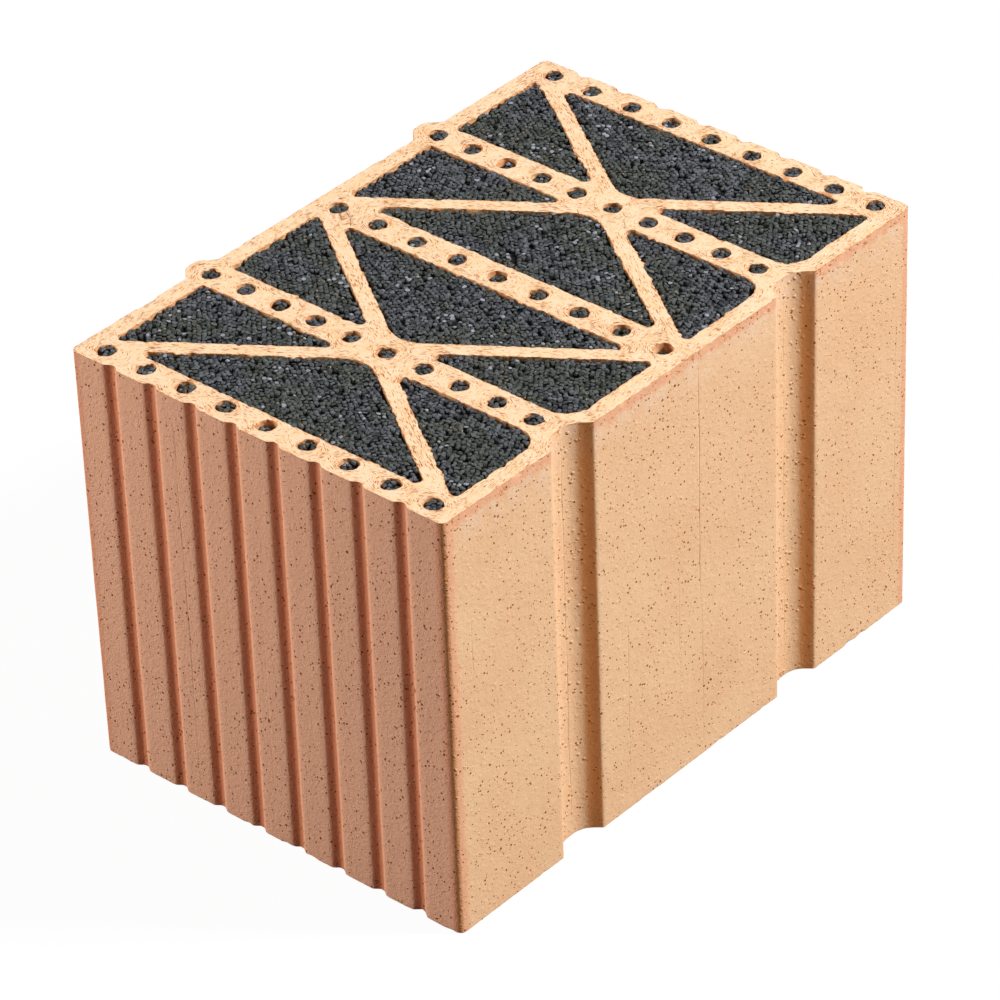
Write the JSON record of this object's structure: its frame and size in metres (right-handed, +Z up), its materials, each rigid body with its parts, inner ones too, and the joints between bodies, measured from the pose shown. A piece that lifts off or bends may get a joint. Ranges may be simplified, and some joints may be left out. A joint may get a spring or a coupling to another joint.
{
  "type": "insulation-filled clay block",
  "caption": "Vertically perforated clay wall block with triangular cells and round holes packed with dark granular insulation, tongue-and-groove ends and keyed plaster faces.",
  "frame": {"origin": "under the middle of the whole block, tongues included, on the lower bed face", "axes": "+Z up, along the holes; +X along the wall towards the grooved end; +Y through the wall, away from the plaster face that the picture shows"},
  "size_m": [0.2544, 0.365, 0.249],
  "materials": {
    "clay": "matte fired clay, porous, pale on the ground bed faces and darker in the keys",
    "granules": "bound foam beads, matte graphite grey"
  },
  "bodies": {
    "root": {"clay_body": "clay", "cell_fill_1": "granules", "cell_fill_2": "granules", "cell_fill_3": "granules", "cell_fill_4": "granules", "cell_fill_5": "granules", "cell_fill_6": "granules", "cell_fill_7": "granules", "cell_fill_8": "granules", "cell_fill_9": "granules", "cell_fill_10": "granules", "cell_fill_11": "granules", "cell_fill_12": "granules", "hole_fill_row_1": "granules", "hole_fill_row_2": "granules", "hole_fill_row_3": "granules", "hole_fill_row_4": "granules", "hole_fill_row_5": "granules"}
  },
  "joints": []
}
